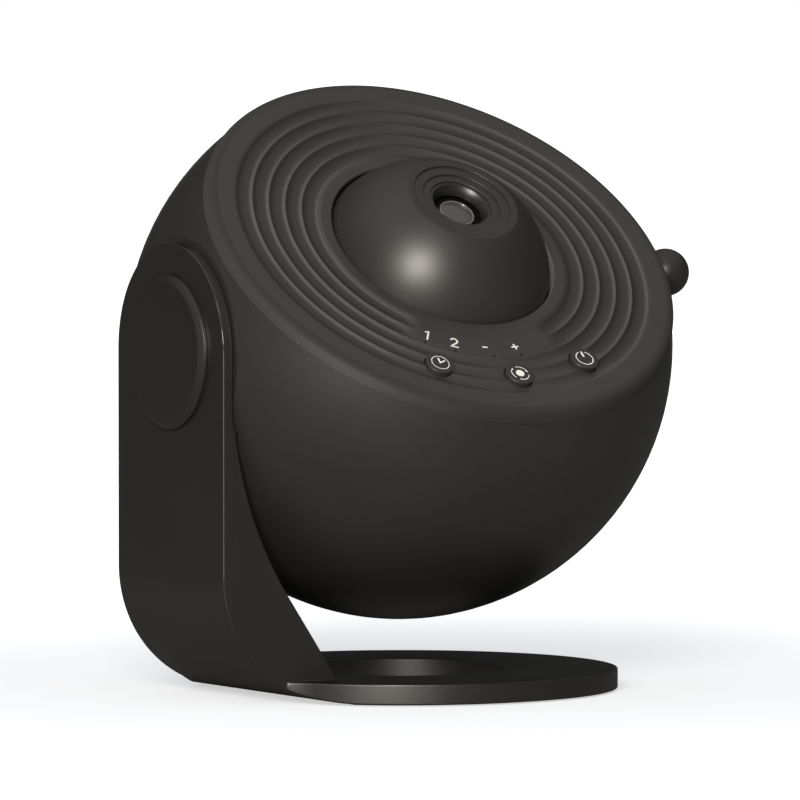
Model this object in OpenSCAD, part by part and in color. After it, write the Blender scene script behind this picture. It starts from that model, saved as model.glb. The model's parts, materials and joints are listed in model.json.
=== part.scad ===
// Planetarium projector: a ball-shaped head with a lens dome, held at one side by a bent ring stand.
// The origin is the centre of the ring's bore, on the underside of the ring; +Z is up.
// Pieces of the head are drawn about the ball's centre, lens axis along +Z, then leaned forward.
// On the lens axis, heights are counted from the ball's centre.

$fn = 96;

/* [Head] */
// Radius of the ball
head_r = 65; // [63:0.5:70]
// Wall of the bowl
bowl_wall = 2.4; // [1.8:0.1:3]
// Height of the parting line above the ball's centre
part_z = 28.7; // [27:0.1:31]
// Depth of the flat on the arm's side of the ball
flat_cut = 5.9; // [5:0.1:7]
// Forward lean of the lens axis, as stored
rest_tilt = 40; // [0:1:60]
// Vent slots round the bottom of the bowl
vent_count = 12; // [6:1:16]
// Width of one vent slot
vent_w = 1.8; // [1.2:0.1:2.4]

/* [Face cover] */
// Height of the cover's face above the parting line
cover_h = 3.5; // [3.2:0.1:4.5]
// Thickness of the cover's plate
cover_t = 2.4; // [2:0.1:2.8]
// Rounding of the rim
rim_round = 2.5; // [1.5:0.1:3]
// How far the rim stands out from the ball
rim_proud = 0.1; // [0:0.05:0.3]
// Number of ripples
ripple_n = 5; // [3:1:5]
// Distance from one ripple to the next
ripple_pitch = 4.08; // [3.5:0.02:4.2]
// Depth of a ripple
ripple_depth = 0.7; // [0.4:0.05:0.9]
// Inner radius of the first ripple
ripple_r = 31; // [30.5:0.1:32]

/* [Dome] */
// Radius of the dome's sphere
dome_r = 29.1; // [28.5:0.1:30.5]
// Depth of the sphere's centre below the face
dome_sink = 11.5; // [11:0.1:12.5]
// Height of the dome's flat top above the face
dome_rise = 14.2; // [13.5:0.1:14.8]
// Wall of the dome
dome_wall = 2.2; // [1.8:0.1:2.6]
// Gap between the dome and the cover
dome_gap = 0.45; // [0.4:0.05:0.8]
// Drop from one step of the recess to the next
recess_step = 0.42; // [0.3:0.02:0.5]
// Radius of the recess's outer step
recess_r = 12; // [11.5:0.1:12.5]
// Radius of the lens opening in the dome's top
mouth_r = 6.4; // [6:0.1:6.8]

/* [Lens] */
// Outer radius of the lens barrel
barrel_r = 9; // [8.6:0.1:9.4]
// Wall of the lens barrel
barrel_wall = 1.6; // [1.2:0.1:1.8]
// Radius of the front lens
front_lens_r = 4.32; // [4:0.02:4.8]
// Depth of the front lens's edge below the dome's top
front_lens_depth = 4.4; // [4:0.1:5]

/* [Focus] */
// Height of the lever above the ball's centre
lever_z = 18.1; // [18:0.1:20]
// Angle of the lever round the lens axis
lever_angle = 3; // [0:1:6]
// Turn of the lever each way
focus_turn = 20; // [15:1:21]
// Travel of the dome each way
focus_travel = 0.8; // [0.5:0.1:0.8]
// Radius of the knob
knob_r = 5.75; // [4.5:0.05:6]
// Radius of the lever's stem
stem_r = 1.5; // [1.2:0.1:1.8]

/* [Film disc] */
// Thickness of the film disc
disc_t = 1.2; // [1:0.1:1.4]
// Clear radius of the light path
beam_r = 15; // [14:0.1:15.5]
// Teeth on the disc carrier
gear_teeth = 54; // [50:1:56]
// Teeth on the drive pinion
pinion_teeth = 12; // [10:1:13]
// Module of the teeth
gear_module = 0.8; // [0.78:0.01:0.82]

/* [Buttons] */
// Radius of a button
button_r = 3.5; // [3.2:0.1:3.8]
// How far a button stands proud of the face
button_proud = 0.9; // [0.7:0.05:1.2]
// Travel of a button
button_travel = 0.6; // [0.3:0.05:0.6]
// Distance of the buttons from the lens axis
button_ring = 45.6; // [45:0.1:46.5]
// Angle between one button and the next
button_step = 25.4; // [25:0.1:28]
// Distance of the indicator holes from the lens axis
indicator_ring = 38.7; // [38:0.1:39]

/* [Stand] */
// Width of the arm
arm_w = 51; // [48:0.5:54]
// Thickness of the arm beside the ball
arm_t = 2.7; // [2.6:0.1:3.4]
// Gap between the arm and the ball's flat
arm_gap = 0.3; // [0.3:0.05:0.6]
// Gap between the ball and the scooped foot of the arm
scoop_gap = 1.3; // [1.1:0.1:2]
// Radius of the outer bend at the foot of the arm
bend_r = 30; // [26:0.5:32]
// Radius of the inner curve that thickens the arm's foot
wedge_r = 91.5; // [86:0.5:98]
// Depth below the pivot at which the inner curve starts
wedge_drop = 6.5; // [5:0.1:8]
// Lean of the foot's straight inner face from vertical
wedge_angle = 33.5; // [32:0.1:35]
// Radius of the ring
base_r = 51.2; // [50:0.1:56]
// Radius of the ring's bore
base_bore_r = 25; // [22:0.1:27]
// Thickness of the ring without its pad
base_t = 4.8; // [4.4:0.1:6]
// Height of the ball above the ring
ball_lift = 11.6; // [11:0.1:14]
// Sideways distance from the ring's centre to the ball's centre
head_offset = 1; // [0:0.1:2]
// Thickness of the anti-slip pad
pad_t = 1.2; // [1:0.1:1.6]
// How far the pad stands out below the ring
pad_proud = 0.4; // [0.3:0.05:0.6]

/* [Pivot] */
// Radius of the head's hub pin
hub_r = 6; // [5.5:0.1:6.5]
// Running clearance of the hub pin, on the radius
hub_fit = 0.05; // [0.03:0.01:0.08]
// Outer radius of the arm's boss
boss_r = 11.8; // [11.2:0.1:12.4]
// Length of the arm's boss inside the ball's flat
boss_l = 6.85; // [6:0.05:8]
// Radius of the pivot cap
cap_r = 18.2; // [17.5:0.1:19]
// How far the pivot cap stands out
cap_h = 1.9; // [1.8:0.05:2.4]
// Bevel of the pivot cap's edge
cap_bevel = 1.2; // [0.8:0.05:1.4]

/* [Inside] */
// Thickness of the optical frame's plate
frame_t = 2; // [1.6:0.1:2.4]
// Radius of the LED board
led_board_r = 13.5; // [12:0.1:14]
// Length of the heat sink's fins
fin_l = 12; // [8:0.5:16]
// Width of the main board
board_w = 40; // [36:1:42]
// Thickness of the circuit boards
board_t = 1.6; // [1:0.1:1.8]
// Depth of the main board below the ball's centre
board_drop = 24; // [23:0.5:26]

/* [Hidden] */

eps = 0.01;            // overshoot of a cut past the face that it opens
far = 200;             // larger than the whole object
slip = 0.1;            // flat running gap between pieces that move on each other
fit = 0.05;            // clearance of pins, screws and shafts, on the radius
clear = 0.3;           // gap between pieces that pass each other
screw_r = 1.5;         // body screws
screw_head_r = 2.8;
screw_head_h = 1.8;
small_screw_r = 1;     // screws of the boards and the motor
small_head_r = 1.9;
small_head_h = 1.4;

// Stand
centre_h = base_t + ball_lift + head_r;             // height of the ball's centre
flat_x = head_r - flat_cut;                         // the ball's flat, from its centre
arm_in = flat_x + arm_gap;                          // the arm's inner and outer faces
arm_out = arm_in + arm_t;
pad_in = base_bore_r + 5;
pad_out = base_r - 4.2;
pad_flat = pad_in + 2.6;                            // the pad's flat side, short of the bend

// Pivot, along the ball's X axis, distances from the ball's centre
washer_t = 1;
washer_r = 9.8;
friction_t = 0.8;
boss_end = arm_in - boss_l;                         // inner end of the arm's boss
pocket_floor = boss_end - slip / 2 - friction_t;    // floor of the ball's pocket
pocket_r = boss_r + clear;
pocket_wall = 2.2;
cap_skin = 0.8;
counter_r = boss_r + 0.2;                           // counterbore in the arm's outer face
counter_d = 1.5;
hub_end = arm_out - counter_d + slip / 2;           // outer end of the hub pin
pivot_head_h = 1.2;
pivot_head_r = 2.9;
driver_r = 1.1;                                     // recess for the driver
driver_d = 0.8;
hub_boss_r = 5;
hub_boss_l = 5.5;

// Face cover and bowl, in the head's frame
face_z = part_z + cover_h;
cover_under = face_z - cover_t;
rim_r = sqrt(pow(head_r, 2) - pow(part_z, 2)) + rim_proud;
lip_r = sqrt(pow(head_r - bowl_wall, 2) - pow(part_z, 2));
spigot_r = lip_r - 0.25;
spigot_t = 1.6;
spigot_l = 3;
ripple_steps = 6;
vent_in = 8;                                        // start, length and depth of a vent slot
vent_l = 11;
vent_cut = 12;
ripple_arc = pow(ripple_pitch, 2) / (8 * ripple_depth) + ripple_depth / 2;

// Dome and its seat, from the face down
dome_z = face_z - dome_sink;
dome_top = face_z + dome_rise;
skirt_below = 1;                                    // depth at which the sphere turns into the skirt
skirt_z = face_z - skirt_below;
skirt_r = sqrt(pow(dome_r, 2) - pow(dome_sink - skirt_below, 2));
hole_r = skirt_r + dome_gap;
seat_top = cover_under - focus_travel - 1;
seat_t = 3.1;
seat_in = skirt_r - 4.75;
seat_lip_in = skirt_r + 0.25;
seat_lip_h = 0.7;
seat_out = seat_lip_in + 0.7;
flange_t = 2;
flange_in = seat_in + 0.4;
magnet_r = 1.5;
magnet_t = 1.5;
magnet_ring = (seat_in + skirt_r) / 2;
magnet_angles = [0, 120, 240];
guide_r = 1;
guide_angles = [60, 180, 300];
follower_r = 1;
follower_z = seat_top - seat_t / 2;
follower_angles = [90, 210, 330];
follower_in = seat_out - 3;

// Focus ring and lever
tube_in = seat_out + clear;
tube_wall = 2;
tube_out = tube_in + tube_wall;
tube_bottom = follower_z - 3.95;
tube_top = cover_under - 0.4;
focus_flange_t = 2;
focus_flange_r = tube_out + 4;
slot_h = 2 * follower_r + 2 * clear;
slot_mid = (tube_in + tube_out) / 2;
slot_slope = atan(focus_travel / (slot_mid * sin(focus_turn)));
slot_l = 2 * (slot_mid * sin(focus_turn) + follower_r + 2 * clear);
slot_clear = 0.5;
lever_w = 6;
lever_t = 3;
lever_in = tube_out + 2.2;
shell_in_at_lever = sqrt(pow(head_r - bowl_wall, 2) - pow(lever_z + lever_t, 2));
lever_out = shell_in_at_lever - 2.5;
stem_in = lever_out - 6;
knob_x = sqrt(pow(head_r + knob_r + 0.4, 2) - pow(lever_z, 2));
guide_ring_wall = 1.8;
guide_ring_h = 3.2;
guide_fit = 0.08;
rest_post_r = 1.8;
rest_angles = [100, 200, 290];

// Disc, carrier and drive
carrier_r = seat_in - 0.5;
disc_rim = 1.2;
disc_r = carrier_r - disc_rim - slip;
disc_seat_z = seat_top - seat_t - 0.7 - disc_t;
collar_wall = 2;
collar_r = beam_r + collar_wall;
collar_top = disc_seat_z - 0.4;
clip_t = 0.6;
clip_r = collar_r + 1.6;
carrier_bottom = disc_seat_z - 5;
gear_h = 3;
frame_top = carrier_bottom - 3;
frame_bottom = frame_top - frame_t;
frame_r = 36;
drive_angle = 30;
drive_ring = gear_module * (gear_teeth + pinion_teeth) / 2;
shaft_r = 1;
motor_r = 7.5;
motor_h = 12.5;
motor_screw_off = 5.2;
motor_bore = 3;                                     // depth of the motor's holes

// Light engine under the frame
ledge_t = 1.5;
ledge_w = 1.5;
condenser_top = frame_bottom - ledge_t;
condenser_t = 5.5;
condenser_curve = 26;
condenser_bottom = condenser_top - condenser_t;
ring_t = 1.4;
tube_wall_low = 2.5;
engine_r = beam_r + tube_wall_low;
sink_top = frame_bottom - 14.6;
sink_t = 3;
sink_r = engine_r + 4.5;
sink_ring = engine_r + 1.8;
sink_angles = [60, 180, 300];
sink_boss_r = 2.6;
sink_screw_l = 5;
lead_hole_r = 2.2;
ear_margin = 1.5;                                   // metal round a frame screw
led_foot_r = 3.4;
led_foot_h = 0.8;
led_dome_r = 2.6;
fin_n = 7;
fin_t = 1.2;
fin_pitch = 4.2;
fin_field_r = engine_r - 1.8;

// Posts that hold the frame and close the bowl
frame_post_ring = 40;
frame_post_r = 3.5;
frame_post_angles = [75, 170, 225, 325];
cover_post_r = 3.6;
cover_post_ring = lip_r - cover_post_r - 6.0333;    // clear of the bowl's lip
cover_post_angles = [40, 150, 310];
cover_post_end = -10;
well_r = screw_head_r + 0.5;
well_wall = 1.7;
well_floor = 3;
cover_screw_l = 7.4;                                // length in the post, past the well's floor
frame_screw_l = 7;

// Keys
key_angles = [270 - button_step, 270, 270 + button_step];
indicator_angles = [239.3, 250.4, 264.9, 276];
key_plate_top = cover_under - 4.2;
key_plate_in = focus_flange_r + 0.8;
key_plate_out = button_ring + 4.8;
key_half_angle = button_step + 7.5;
key_post_ring = button_ring - 1.6;
key_post_angles = [270 - button_step / 2, 270 + button_step / 2];
key_post_r = 2.2;
key_screw_l = 3;
switch_w = 6;
flange_extra = 1.1;
flange_h = 0.6;
button_stem_r = 1.2;
switch_top = cover_under - clear - flange_h - button_travel - clear;
button_hole_r = button_r + 0.2;
pipe_r = 0.35;
pipe_flange_r = 1.2;
pipe_flange_h = 1;

// Main board and its socket
board_post_r = 2.6;
board_l = 26;
board_inset = 4;                                    // of its holes, from its edges
board_back = 6.107;                                 // from its edge to the socket's mouth
usb_w = 9;
usb_h = 3.2;
usb_l = 8.8;
usb_wall = 0.35;
usb_gap = 0.3;
usb_cut = 12;
lead_r = 0.6;
cable_r = 1.1;
board_screw_l = 5;
board_z = -board_drop;
usb_mouth = sqrt(pow(head_r, 2) - pow(board_drop, 2)) - 1.3;
board_v1 = usb_mouth - board_back;
board_v0 = board_v1 - board_l;
board_hole_u = board_w / 2 - board_inset;
board_holes = [for (v = [board_v0 + board_inset, board_v1 - board_inset])
               for (u = [-board_hole_u, board_hole_u]) [u, v]];
chip = [8, 8, 1.4];
coil = [5, 5, 3];
capacitor_r = 2.5;
capacitor_h = 5;
plug_block = [4, 3, 1.2];
resistor = [3.2, 1.6, 1.1];

// ---- helpers ----

// Places the head's own frame in the stand
module in_head() {
  translate([-head_offset, 0, centre_h])
    rotate([rest_tilt, 0, 0])
      children();
}

// A rod along the pivot axis, from x0 out to x1, measured from the ball's centre towards the arm
module pivot_rod(x0, x1, r) {
  translate([-head_offset - x1, 0, centre_h])
    rotate([0, 90, 0])
      cylinder(r = r, h = x1 - x0);
}

module rod(z0, z1, r) {
  translate([0, 0, z0])
    cylinder(r = r, h = z1 - z0);
}

module tube(z0, z1, r0, r1) {
  difference() {
    rod(z0, z1, r1);
    rod(z0 - eps, z1 + eps, r0);
  }
}

// Copies a child round the lens axis
module around(angles, ring) {
  for (a = angles)
    rotate([0, 0, a])
      translate([ring, 0, 0])
        children();
}

// A screw whose head rests at z, with its shank going up (way = 1) or down (way = -1)
module screw(z, way, l, r, head_r, head_h) {
  translate([0, 0, z])
    mirror([0, 0, way > 0 ? 0 : 1])
      union() {
        rod(-eps, l, r);
        difference() {
          rod(-head_h, 0, head_r);
          rod(-head_h - eps, -head_h * 0.45, r * 0.75);
        }
      }
}

// A round lead through a list of points
module lead(points, r) {
  $fn = 8;
  for (i = [0 : len(points) - 2]) {
    step = points[i + 1] - points[i];
    run = norm(step);
    translate(points[i])
      rotate([0, acos(step[2] / run), atan2(step[1], step[0])])
        cylinder(r = r, h = run);
  }
  for (i = [1 : len(points) - 2])
    translate(points[i])
      sphere(r = r);
}

// Involute gear outline
pressure = 25;
function roll(rb, r) = sqrt(pow(r / rb, 2) - 1) * 180 / PI - acos(rb / r);
function flank(teeth, r) = let(rp = gear_module * teeth / 2, rb = rp * cos(pressure))
  (90 / teeth - backlash_angle(rp)) + roll(rb, rp) - roll(rb, max(r, rb));
function backlash_angle(rp) = 0.045 / rp * 180 / PI;
flank_steps = 4;
module gear_outline(teeth) {
  rp = gear_module * teeth / 2;
  tip = rp + 0.85 * gear_module;
  root = rp - 1.2 * gear_module;
  base = rp * cos(pressure);
  start = max(root + 0.05, base);
  radii = [for (i = [0 : flank_steps]) start + (tip - start) * i / flank_steps];
  points = [for (k = [0 : teeth - 1]) each concat(
    [[root, 360 * k / teeth - flank(teeth, start)]],
    [for (r = radii) [r, 360 * k / teeth - flank(teeth, r)]],
    [for (i = [flank_steps : -1 : 0]) [radii[i], 360 * k / teeth + flank(teeth, radii[i])]],
    [[root, 360 * k / teeth + flank(teeth, start)]])];
  polygon([for (p = points) [p[0] * cos(p[1]), p[0] * sin(p[1])]]);
}

// ---- stand ----

// The open space to the right of the arm's inner face, in the side view about the ball's centre
module wedge_space() {
  cx = wedge_r - arm_in;
  floor_z = base_t - centre_h;
  end_x = cx - wedge_r * cos(wedge_angle);
  end_z = -wedge_drop - wedge_r * sin(wedge_angle);
  foot_x = end_x + (end_z - floor_z) * tan(wedge_angle);
  intersection() {
    translate([cx, -wedge_drop])
      circle(r = wedge_r, $fn = 240);
    translate([-far, floor_z])
      square([far + cx, -wedge_drop - floor_z]);
  }
  translate([-arm_in, -wedge_drop])
    square([far, wedge_drop + arm_w]);
  polygon([[cx, -wedge_drop], [end_x, end_z], [foot_x, floor_z], [far, floor_z], [far, -wedge_drop]]);
}

// Side view of the bent plate, about the ball's centre
module side_profile() {
  reach = base_r + head_offset + 1;
  difference() {
    union() {
      translate([-arm_out, bend_r - centre_h])
        square([arm_out + reach, centre_h - bend_r + arm_w / 2]);
      translate([bend_r - arm_out, -centre_h])
        square([arm_out - bend_r + reach, bend_r + eps]);
      translate([bend_r - arm_out, bend_r - centre_h])
        circle(r = bend_r, $fn = 160);
    }
    wedge_space();
  }
}

// Half-space on the pad's side of its flat edge
module pad_side(extra) {
  translate([-pad_flat - extra, -far, -far])
    cube([far, 2 * far, 2 * far]);
}

module stand_bracket() color("#2b2a28")
  difference() {
    union() {
      difference() {
        intersection() {
          translate([-head_offset, 0, centre_h])
            rotate([90, 0, 0])
              linear_extrude(height = 3 * base_r, center = true)
                side_profile();
          union() {
            rod(-eps, base_t + eps, base_r);
            translate([-far, -arm_w / 2, -eps])
              cube([far, arm_w, centre_h + eps]);
            pivot_rod(boss_end, arm_out + 1, arm_w / 2);
          }
        }
        // room for the ball to turn
        difference() {
          translate([-head_offset, 0, centre_h])
            sphere(r = head_r + scoop_gap, $fn = 200);
          translate([-far - arm_in - head_offset, -far / 2, 0])
            cube([far, far, far]);
        }
      }
      pivot_rod(boss_end, arm_in + 0.5, boss_r);
    }
    // bore of the ring and the groove of its pad
    rod(-1, base_t + 1, base_bore_r);
    intersection() {
      tube(-1, pad_t - pad_proud, pad_in - slip, pad_out + slip);
      pad_side(slip);
    }
    // bore for the hub pin and counterbore for its washer
    pivot_rod(boss_end - 1, arm_out + 1, hub_r + hub_fit);
    pivot_rod(arm_out - counter_d, arm_out + 1, counter_r);
  }

module base_pad() color("#1c1c1c")
  intersection() {
    tube(-pad_proud, pad_t - pad_proud, pad_in, pad_out);
    pad_side(0);
  }

module pivot_cap() color("#2d2c2a")
  difference() {
    union() {
      pivot_rod(arm_out, arm_out + cap_h - cap_bevel, cap_r);
      translate([-head_offset - arm_out - cap_h, 0, centre_h])
        rotate([0, 90, 0])
          cylinder(r1 = cap_r - cap_bevel, r2 = cap_r, h = cap_bevel);
      pivot_rod(arm_out - counter_d + 0.4, arm_out, counter_r - fit);
    }
    pivot_rod(arm_out - counter_d - 1, arm_out + cap_h - cap_skin, washer_r + 0.8);
  }

// ---- head shells ----

// The ball, or its inside, cut flat on the arm's side
module cut_ball(r, flat) {
  difference() {
    sphere(r = r, $fn = 200);
    translate([-flat - far, -far / 2, -far / 2])
      cube([far, far, far]);
  }
}

// Room for the lever's stem to swing
module slot_room() {
  half_h = stem_r + slot_clear;
  half_angle = focus_turn + asin(half_h / shell_in_at_lever);
  difference() {
    tube(lever_z - half_h, lever_z + half_h, head_r - 12, head_r + 2);
    rotate([0, 0, lever_angle + half_angle])
      translate([-far, 0, 0])
        cube([2 * far, far, far]);
    rotate([0, 0, lever_angle - half_angle])
      translate([-far, -far, 0])
        cube([2 * far, far, far]);
  }
}

module bowl_shell() color("#2e2c2a") in_head() {
  hub_pin();
  difference() {
    union() {
      difference() {
        cut_ball(head_r, flat_x);
        cut_ball(head_r - bowl_wall, flat_x - bowl_wall);
      }
      // pocket for the arm's boss, and the boss behind it for the screw
      intersection() {
        union() {
          rotate([0, 90, 0])
            rod(-flat_x, -pocket_floor + pocket_wall, pocket_r + pocket_wall);
          rotate([0, 90, 0])
            rod(-pocket_floor, -pocket_floor + hub_boss_l + pocket_wall, hub_boss_r);
        }
        cut_ball(head_r - 0.5, flat_x);
      }
      // wells for the cover screws and posts for the main board
      intersection() {
        union() {
          around(cover_post_angles, cover_post_ring)
            rod(-head_r, cover_post_end - slip, well_r + well_wall);
          for (p = board_holes)
            translate([p[0], p[1], 0])
              rod(-head_r, board_z - board_t, board_post_r);
        }
        cut_ball(head_r - 0.5, flat_x - 0.5);
      }
    }
    // open top
    rod(part_z, head_r + 1, head_r + 1);
    // pocket
    rotate([0, 90, 0])
      rod(-flat_x - 1, -pocket_floor, pocket_r);
    // wells, with a clearance hole in the floor
    around(cover_post_angles, cover_post_ring) {
      rod(-head_r, cover_post_end - slip - well_floor, well_r);
      rod(-head_r, cover_post_end + 1, screw_r + 0.1);
    }
    for (p = board_holes)
      translate([p[0], p[1], 0])
        rod(board_z - board_t - board_screw_l - 2, board_z, small_screw_r + fit);
    slot_room();
    // vents
    for (k = [0 : vent_count - 1])
      rotate([0, 0, 360 * (k + 0.5) / vent_count])
        translate([vent_in, -vent_w / 2, -head_r - 1])
          cube([vent_l, vent_w, vent_cut]);
    // mouth of the USB-C socket
    translate([-usb_w / 2 - usb_gap, usb_mouth - usb_cut / 2, board_z - usb_gap])
      cube([usb_w + 2 * usb_gap, usb_cut, usb_h + 2 * usb_gap]);
    // hole for the pivot screw
    rotate([0, 90, 0])
      rod(-pocket_floor - 1, -pocket_floor + hub_boss_l, screw_r + fit);
  }
}

// The hub pin is moulded into the bowl's pocket
module hub_pin() {
  difference() {
    rotate([0, 90, 0])
      rod(-hub_end, -pocket_floor + 1, hub_r);
    rotate([0, 90, 0])
      rod(-hub_end - 1, -pocket_floor + hub_boss_l, screw_r + fit);
  }
}

// Depth of a ripple at the share t of its width: a circular arc
function ripple_dip(t) = sqrt(pow(ripple_arc, 2) - pow((t - 0.5) * ripple_pitch, 2)) - ripple_arc + ripple_depth;

// Half section of the cover: plate with ripples, rolled rim, spigot and the focus ring's guide
module face_profile() {
  guide_in = tube_out + guide_fit;
  polygon(concat(
    [[hole_r, cover_under], [hole_r, face_z]],
    [for (k = [0 : ripple_n - 1], i = [0 : ripple_steps - 1])
      [ripple_r + (k + i / ripple_steps) * ripple_pitch, face_z - ripple_dip(i / ripple_steps)]],
    [[ripple_r + ripple_n * ripple_pitch, face_z]],
    [for (a = [90 : -15 : 0]) [rim_r - rim_round * (1 - cos(a)), face_z - rim_round * (1 - sin(a))]],
    [[rim_r, part_z], [spigot_r, part_z], [spigot_r, part_z - spigot_l],
     [spigot_r - spigot_t, part_z - spigot_l], [spigot_r - spigot_t, cover_under],
     [guide_in + guide_ring_wall, cover_under], [guide_in + guide_ring_wall, tube_top - guide_ring_h],
     [guide_in, tube_top - guide_ring_h], [guide_in, cover_under]]));
}

module face_cover() color("#302e2c") in_head()
  difference() {
    union() {
      rotate_extrude()
        face_profile();
      around(cover_post_angles, cover_post_ring)
        rod(cover_post_end, cover_under + eps, cover_post_r);
      around(frame_post_angles, frame_post_ring)
        rod(frame_top, cover_under + eps, frame_post_r);
      around(key_post_angles, key_post_ring)
        rod(key_plate_top, cover_under + eps, key_post_r);
    }
    around(cover_post_angles, cover_post_ring)
      rod(cover_post_end - 1, cover_post_end + cover_screw_l + 1.5, screw_r + fit);
    around(frame_post_angles, frame_post_ring)
      rod(frame_top - 1, frame_top + frame_screw_l + 1, screw_r + fit);
    around(key_post_angles, key_post_ring)
      rod(key_plate_top - 1, key_plate_top + key_screw_l + 0.5, small_screw_r + fit);
    around(key_angles, button_ring)
      rod(cover_under - 1, face_z + 1, button_hole_r);
    around(indicator_angles, indicator_ring)
      rod(cover_under - 1, face_z + 1, pipe_r + fit);
  }

module cover_screws() color("#8d8f92") in_head()
  around(cover_post_angles, cover_post_ring)
    screw(cover_post_end - slip - well_floor, 1, slip + well_floor + cover_screw_l, screw_r, screw_head_r,
          screw_head_h);

// ---- pivot ----

module friction_washer() color("#b9b39a")
  difference() {
    pivot_rod(pocket_floor, pocket_floor + friction_t, boss_r - 2 * slip);
    pivot_rod(pocket_floor - 1, pocket_floor + friction_t + 1, hub_r + clear);
  }

module retaining_washer() color("#9a9da1")
  difference() {
    pivot_rod(hub_end, hub_end + washer_t, washer_r);
    pivot_rod(hub_end - 1, hub_end + washer_t + 1, screw_r + 0.1);
  }

module pivot_screw() color("#8d8f92")
  difference() {
    union() {
      pivot_rod(pocket_floor - hub_boss_l + 1, hub_end + washer_t, screw_r);
      pivot_rod(hub_end + washer_t, hub_end + washer_t + pivot_head_h, pivot_head_r);
    }
    pivot_rod(hub_end + washer_t + pivot_head_h - driver_d, hub_end + washer_t + pivot_head_h + 1, driver_r);
  }

// ---- optical frame and light engine ----

module drive_place() {
  rotate([0, 0, drive_angle])
    translate([drive_ring, 0, 0])
      children();
}

module motor_holes() {
  drive_place()
    for (side = [-1, 1])
      translate([0, side * motor_screw_off, 0])
        children();
}

module optical_frame() color("#3a3a3c") in_head()
  difference() {
    union() {
      rod(frame_bottom, frame_top, frame_r);
      around(frame_post_angles, frame_post_ring)
        rod(frame_bottom, frame_top, frame_post_r + ear_margin);
      for (a = frame_post_angles)
        rotate([0, 0, a])
          translate([frame_r - 4, -frame_post_r - 1, frame_bottom])
            cube([frame_post_ring - frame_r + 4, 2 * (frame_post_r + 1), frame_t]);
      rod(frame_top - eps, carrier_bottom - slip, collar_r + 2.5);
      rod(frame_top - eps, collar_top, collar_r);
      rod(sink_top, frame_bottom + eps, engine_r);
      around(sink_angles, sink_ring)
        rod(sink_top, sink_top + sink_screw_l + 2.6, sink_boss_r);
      around(rest_angles, tube_out + 2)
        rod(frame_top - eps, tube_bottom - slip, rest_post_r);
    }
    rod(condenser_top, collar_top + 1, beam_r - ledge_w);
    rod(frame_top - 1, collar_top + 1, beam_r);
    rod(sink_top - 1, condenser_top, beam_r);
    around(frame_post_angles, frame_post_ring)
      rod(frame_bottom - 1, frame_top + 1, screw_r + 0.1);
    around(guide_angles, magnet_ring)
      rod(frame_bottom - 1, frame_top + 1, guide_r);
    around(sink_angles, sink_ring)
      rod(sink_top - 1, sink_top + sink_screw_l + 1, small_screw_r + fit);
    drive_place()
      rod(frame_bottom - 1, frame_top + 1, shaft_r + 1.2);
    motor_holes()
      rod(frame_bottom - 1, frame_top + 1, small_screw_r + fit);
    // way out for the LED's leads
    translate([0, beam_r - 3, sink_top + 1.6])
      rotate([-90, 0, 0])
        cylinder(r = lead_hole_r, h = 8);
  }

module frame_screws() color("#8d8f92") in_head()
  around(frame_post_angles, frame_post_ring)
    screw(frame_bottom, 1, frame_t + frame_screw_l, screw_r, screw_head_r, screw_head_h);

module guide_pins() color("#a9adb2") in_head()
  around(guide_angles, magnet_ring)
    rod(frame_bottom, seat_top - focus_travel - 0.2, guide_r);

module carrier_clip() color("#a9adb2") in_head()
  difference() {
    tube(collar_top - clip_t, collar_top, collar_r, clip_r);
    translate([0, -1.5, collar_top - clip_t - 1])
      cube([clip_r + 1, 3, clip_t + 2]);
  }

module condenser_lens() color([0.8, 0.9, 0.95, 0.4]) in_head()
  intersection() {
    rod(condenser_bottom, condenser_top, beam_r - fit);
    translate([0, 0, condenser_top - condenser_curve])
      sphere(r = condenser_curve);
  }

module condenser_ring() color("#2f2f2f") in_head()
  tube(condenser_bottom - ring_t, condenser_bottom, beam_r - ledge_w, beam_r - fit);

module led_emitter() color("#e9d66b") in_head() {
  foot = sink_top + board_t;
  rod(foot, foot + led_foot_h, led_foot_r);
  intersection() {
    rod(foot + led_foot_h, foot + led_foot_h + led_dome_r, led_dome_r);
    translate([0, 0, foot + led_foot_h])
      sphere(r = led_dome_r);
  }
}

module led_board() color("#dcdcd4") in_head()
  rod(sink_top, sink_top + board_t, led_board_r);

module heat_sink() color("#b4b7ba") in_head()
  difference() {
    union() {
      rod(sink_top - sink_t, sink_top, sink_r);
      intersection() {
        rod(sink_top - sink_t - fin_l, sink_top - sink_t + eps, fin_field_r);
        for (k = [0 : fin_n - 1])
          translate([-far / 2, (k - (fin_n - 1) / 2) * fin_pitch - fin_t / 2, sink_top - sink_t - fin_l])
            cube([far, fin_t, fin_l + 1]);
      }
    }
    around(sink_angles, sink_ring)
      rod(sink_top - sink_t - 1, sink_top + 1, small_screw_r + 0.1);
  }

module sink_screws() color("#8d8f92") in_head()
  around(sink_angles, sink_ring)
    screw(sink_top - sink_t, 1, sink_t + sink_screw_l, small_screw_r, small_head_r, small_head_h);

// ---- disc drive ----

module disc_motor() color("#9ea2a6") in_head()
  drive_place()
    difference() {
      rod(frame_bottom - motor_h, frame_bottom, motor_r);
      rod(frame_bottom - motor_bore, frame_bottom + 1, shaft_r + 2 * clear);
      for (side = [-1, 1])
        translate([0, side * motor_screw_off, 0])
          rod(frame_bottom - motor_bore, frame_bottom + 1, small_screw_r + fit);
    }

module motor_screws() color("#8d8f92") in_head()
  motor_holes()
    screw(frame_top, -1, frame_t + 2, small_screw_r, small_head_r, small_head_h);

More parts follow.
